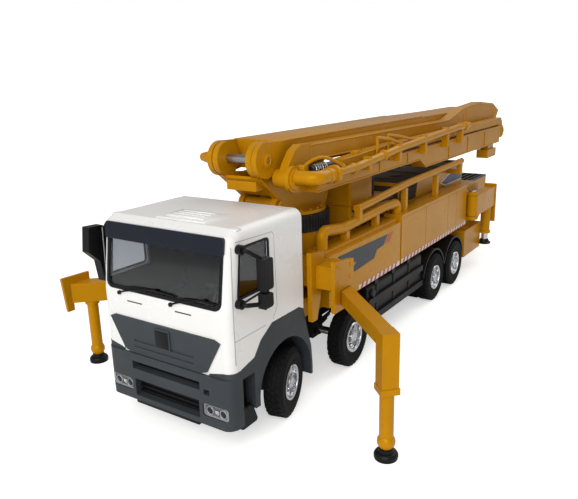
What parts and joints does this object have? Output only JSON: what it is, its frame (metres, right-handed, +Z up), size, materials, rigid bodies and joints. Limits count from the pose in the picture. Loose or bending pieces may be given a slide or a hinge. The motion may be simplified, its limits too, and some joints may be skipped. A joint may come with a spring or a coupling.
{
  "type": "model concrete pump truck",
  "caption": "Scale model of a truck-mounted concrete pump with a folding boom on a slew ring and outriggers that stand on the ground.",
  "frame": {"origin": "on the ground, at the middle of the model's length and width", "axes": "+X forward, towards the cab; +Y to the vehicle's left; +Z up"},
  "size_m": [0.3904, 0.183, 0.1238],
  "materials": {
    "cab_paint": "gloss white paint",
    "amber_paint": "satin amber paint",
    "slate_plastic": "matt slate grey",
    "black_plastic": "matt black",
    "interior_plastic": "matt dark grey",
    "dark_band": "gloss blue-black",
    "window_glass": "clear, slightly smoked",
    "lamp_lens": "clear lens",
    "chassis_paint": "satin black",
    "black_metal": "satin black",
    "tyre_rubber": "matt rubber",
    "rim_chrome": "bright plated",
    "rod_chrome": "bright plated"
  },
  "bodies": {
    "truck": {"cab_shell": "cab_paint", "cab_glazing": "window_glass", "sun_band": "dark_band", "grille_panel": "slate_plastic", "bumper": "slate_plastic", "headlamps": "lamp_lens", "wheel_arches": "slate_plastic", "cab_interior": "interior_plastic", "mirrors": "black_plastic", "chassis_frame": "chassis_paint", "front_axle": "chassis_paint", "deck": "amber_paint", "side_panels": "amber_paint", "rear_body": "amber_paint", "slew_ring": "black_metal", "outrigger_housing": "amber_paint", "hopper": "amber_paint", "hopper_grate": "black_metal", "side_tanks": "black_plastic", "rear_mudguards": "black_plastic", "hood": "amber_paint", "control_block": "amber_paint", "deck_pipes": "amber_paint"},
    "knuckle_left": {"knuckle_left": "chassis_paint"},
    "knuckle_right": {"knuckle_right": "chassis_paint"},
    "wheel_front_left": {"tyre_1_left": "tyre_rubber", "rim_1_left": "rim_chrome"},
    "wheel_front_right": {"tyre_1_right": "tyre_rubber", "rim_1_right": "rim_chrome"},
    "wheels_2": {"tyres_2": "tyre_rubber", "rims_2": "rim_chrome"},
    "wheels_3": {"tyres_3": "tyre_rubber", "rims_3": "rim_chrome"},
    "wheels_4": {"tyres_4": "tyre_rubber", "rims_4": "rim_chrome"},
    "turret": {"turret": "amber_paint"},
    "luff_barrel": {"luff_barrel": "amber_paint"},
    "luff_rod": {"luff_rod": "rod_chrome"},
    "boom_section_1": {"boom_1": "amber_paint", "boom_1_pipe": "amber_paint"},
    "boom_section_2": {"boom_2": "amber_paint"},
    "boom_section_3": {"boom_3": "amber_paint", "boom_3_pipe": "amber_paint"},
    "boom_section_4": {"boom_4": "amber_paint"},
    "arm_front_left": {"arm_front_left": "amber_paint"},
    "jack_front_left": {"jack_front_left": "amber_paint", "foot_front_left": "black_plastic"},
    "arm_front_right": {"arm_front_right": "amber_paint"},
    "jack_front_right": {"jack_front_right": "amber_paint", "foot_front_right": "black_plastic"},
    "arm_rear_left": {"arm_rear_left": "amber_paint"},
    "jack_rear_left": {"jack_rear_left": "rod_chrome", "foot_rear_left": "black_plastic"},
    "arm_rear_right": {"arm_rear_right": "amber_paint"},
    "jack_rear_right": {"jack_rear_right": "rod_chrome", "foot_rear_right": "black_plastic"}
  },
  "joints": [
    {"name": "steer_left", "type": "hinge", "parent": "truck", "child": "knuckle_left", "pos_m": [0.1568, 0.0224, 0.0158], "axis": [0, 0, 1], "range_deg": [-24, 4]},
    {"name": "steer_right", "type": "hinge", "parent": "truck", "child": "knuckle_right", "pos_m": [0.1568, -0.0224, 0.0158], "axis": [0, 0, 1], "range_deg": [-24, 4]},
    {"name": "roll_front_left", "type": "hinge", "parent": "knuckle_left", "child": "wheel_front_left", "pos_m": [0.15436, 0.0322, 0.0158], "axis": [-0.2419, 0.9703, 0], "continuous": true},
    {"name": "roll_front_right", "type": "hinge", "parent": "knuckle_right", "child": "wheel_front_right", "pos_m": [0.15924, -0.0322, 0.0158], "axis": [-0.2419, 0.9703, 0], "continuous": true},
    {"name": "roll_2", "type": "hinge", "parent": "truck", "child": "wheels_2", "pos_m": [0.0953, 0, 0.0158], "axis": [0, 1, 0], "continuous": true},
    {"name": "roll_3", "type": "hinge", "parent": "truck", "child": "wheels_3", "pos_m": [-0.0187, 0, 0.0158], "axis": [0, 1, 0], "continuous": true},
    {"name": "roll_4", "type": "hinge", "parent": "truck", "child": "wheels_4", "pos_m": [-0.0562, 0, 0.0158], "axis": [0, 1, 0], "continuous": true},
    {"name": "slew", "type": "hinge", "parent": "truck", "child": "turret", "pos_m": [0.0988, 0, 0.082], "axis": [0, 0, 1], "continuous": true},
    {"name": "luff", "type": "hinge", "parent": "turret", "child": "boom_section_1", "pos_m": [0.1363, 0, 0.1113], "axis": [0, 1, 0], "range_deg": [0, 80]},
    {"name": "luff_barrel_pivot", "type": "hinge", "parent": "turret", "child": "luff_barrel", "pos_m": [0.1228, 0, 0.088], "axis": [0, 1, 0], "range_deg": [0, 69.1]},
    {"name": "luff_rod_slide", "type": "slide", "parent": "luff_barrel", "child": "luff_rod", "axis": [-0.9598, 0, 0.2807], "range_m": [0, 0.0364]},
    {"name": "unfold_2", "type": "hinge", "parent": "boom_section_1", "child": "boom_section_2", "pos_m": [-0.1802, 0.0181, 0.112], "axis": [0, -1, 0], "range_deg": [0, 180]},
    {"name": "unfold_3", "type": "hinge", "parent": "boom_section_2", "child": "boom_section_3", "pos_m": [0.1288, 0.0192, 0.1025], "axis": [0, 1, 0], "range_deg": [0, 180]},
    {"name": "unfold_4", "type": "hinge", "parent": "boom_section_3", "child": "boom_section_4", "pos_m": [-0.1762, 0.0268, 0.0985], "axis": [0, -1, 0], "range_deg": [0, 180]},
    {"name": "front_arm_slide_left", "type": "slide", "parent": "truck", "child": "arm_front_left", "axis": [-0.6858, -0.7278, 0], "range_m": [0, 0.018]},
    {"name": "front_jack_slide_left", "type": "slide", "parent": "arm_front_left", "child": "jack_front_left", "axis": [0, 0, 1], "range_m": [0, 0.012]},
    {"name": "rear_arm_swing_left", "type": "hinge", "parent": "truck", "child": "arm_rear_left", "pos_m": [-0.0848, 0.038, 0.0525], "axis": [0, 0, -1], "range_deg": [0, 95]},
    {"name": "rear_jack_slide_left", "type": "slide", "parent": "arm_rear_left", "child": "jack_rear_left", "axis": [0, 0, -1], "range_m": [0, 0.0158]},
    {"name": "front_arm_slide_right", "type": "slide", "parent": "truck", "child": "arm_front_right", "axis": [-0.6858, 0.7278, 0], "range_m": [0, 0.018]},
    {"name": "front_jack_slide_right", "type": "slide", "parent": "arm_front_right", "child": "jack_front_right", "axis": [0, 0, 1], "range_m": [0, 0.005]},
    {"name": "rear_arm_swing_right", "type": "hinge", "parent": "truck", "child": "arm_rear_right", "pos_m": [-0.0848, -0.038, 0.0525], "axis": [0, 0, 1], "range_deg": [0, 95]},
    {"name": "rear_jack_slide_right", "type": "slide", "parent": "arm_rear_right", "child": "jack_rear_right", "axis": [0, 0, -1], "range_m": [0, 0.0158]}
  ],
  "couplings": [
    {"joint": "steer_right", "follows": "steer_left", "ratio": 1},
    {"joint": "luff_barrel_pivot", "follows": "luff", "ratio": 0.86},
    {"joint": "luff_rod_slide", "follows": "luff", "m_per_rad": 0.026}
  ]
}
